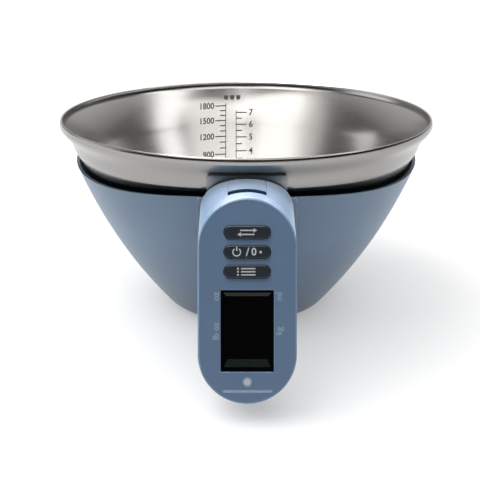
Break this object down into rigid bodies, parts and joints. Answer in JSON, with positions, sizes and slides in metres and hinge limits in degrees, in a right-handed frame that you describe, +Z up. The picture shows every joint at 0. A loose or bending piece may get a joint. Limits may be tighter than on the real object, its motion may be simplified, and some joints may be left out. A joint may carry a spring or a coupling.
{
  "type": "kitchen scale",
  "caption": "Kitchen scale: a steel bowl floats on a weighing platform in a conical plastic shell, with display and buttons in a jug-type handle.",
  "frame": {"origin": "centre of the rubber pad's underside, on the bowl's axis", "axes": "+Z up along the bowl's axis, the handle points to -Y, +X to the right seen from the handle"},
  "size_m": [0.22, 0.2667, 0.119],
  "materials": {
    "bowl_steel": "fine circular brushing",
    "bracket_steel": "satin",
    "shell_plastic": "fine matt, dusty blue",
    "handle_plastic": "fine matt, dusty blue",
    "tab_plastic": "fine matt, dusty blue",
    "base_plastic": "matt, dark grey",
    "rubber": "matt",
    "screw_steel": "bright zinc",
    "spring_steel": "nickel",
    "cell_aluminium": "milled",
    "sealant": "white silicone",
    "soft_pad": "soft silicone",
    "cable": "flat grey cable",
    "window": "black gloss lens",
    "print_light": "pale printed mark",
    "switch_plastic": "black",
    "board": "green solder mask",
    "chip": "black epoxy",
    "connector": "ivory nylon",
    "frame_plastic": "black",
    "lcd": "dark display glass",
    "zebra": "elastic strip",
    "cell_wrap": "printed wrap, plain",
    "button_plastic": "dark navy"
  },
  "bodies": {
    "base": {"outer_shell": "shell_plastic", "base_plate": "base_plastic", "base_pad": "rubber", "base_screws": "screw_steel", "load_cell": "cell_aluminium", "gauge_seal": "sealant", "cell_spacer": "base_plastic", "cell_screws": "screw_steel", "weighing_platform": "base_plastic", "platform_pads": "soft_pad", "sensor_cable": "cable", "handle_front": "handle_plastic", "handle_rear": "handle_plastic", "display_window": "window", "face_mark": "print_light", "tact_switches": "switch_plastic", "circuit_board": "board", "controller_chip": "chip", "cable_connector": "connector", "lcd_frame": "frame_plastic", "lcd_panel": "lcd", "zebra_strips": "zebra", "battery_tray": "frame_plastic", "batteries": "cell_wrap", "battery_springs": "spring_steel", "battery_contacts": "spring_steel", "handle_screws": "screw_steel", "neck_screws": "screw_steel", "lock_pin": "screw_steel", "lock_spring": "spring_steel"},
    "bowl": {"steel_bowl": "bowl_steel", "bowl_bracket": "bracket_steel"},
    "unit_key": {"unit_button": "button_plastic"},
    "zero_key": {"zero_button": "button_plastic"},
    "mode_key": {"mode_button": "button_plastic"},
    "lock": {"thumb_lock": "tab_plastic"},
    "door": {"battery_door": "handle_plastic"}
  },
  "joints": [
    {"name": "bowl_lift", "type": "slide", "parent": "base", "child": "bowl", "axis": [0, 0, 1], "range_m": [0, 0.085]},
    {"name": "unit_press", "type": "slide", "parent": "base", "child": "unit_key", "axis": [0, 0.9367, -0.3502], "range_m": [0, 0.0008], "stiffness_N_per_m": 1500, "springref_m": -0.0006},
    {"name": "zero_press", "type": "slide", "parent": "base", "child": "zero_key", "axis": [0, 0.9367, -0.3502], "range_m": [0, 0.0008], "stiffness_N_per_m": 1500, "springref_m": -0.0006},
    {"name": "mode_press", "type": "slide", "parent": "base", "child": "mode_key", "axis": [0, 0.9367, -0.3502], "range_m": [0, 0.0008], "stiffness_N_per_m": 1500, "springref_m": -0.0006},
    {"name": "lock_press", "type": "hinge", "parent": "base", "child": "lock", "pos_m": [0, -0.1076, 0.1032], "axis": [1, 0, 0], "range_deg": [0, 14], "stiffness_Nm_per_rad": 0.12, "springref_deg": -20.05, "deforming": ["lock_spring"]},
    {"name": "door_slide", "type": "slide", "parent": "base", "child": "door", "axis": [0, -0.3502, -0.9367], "range_m": [0, 0.008]}
  ]
}
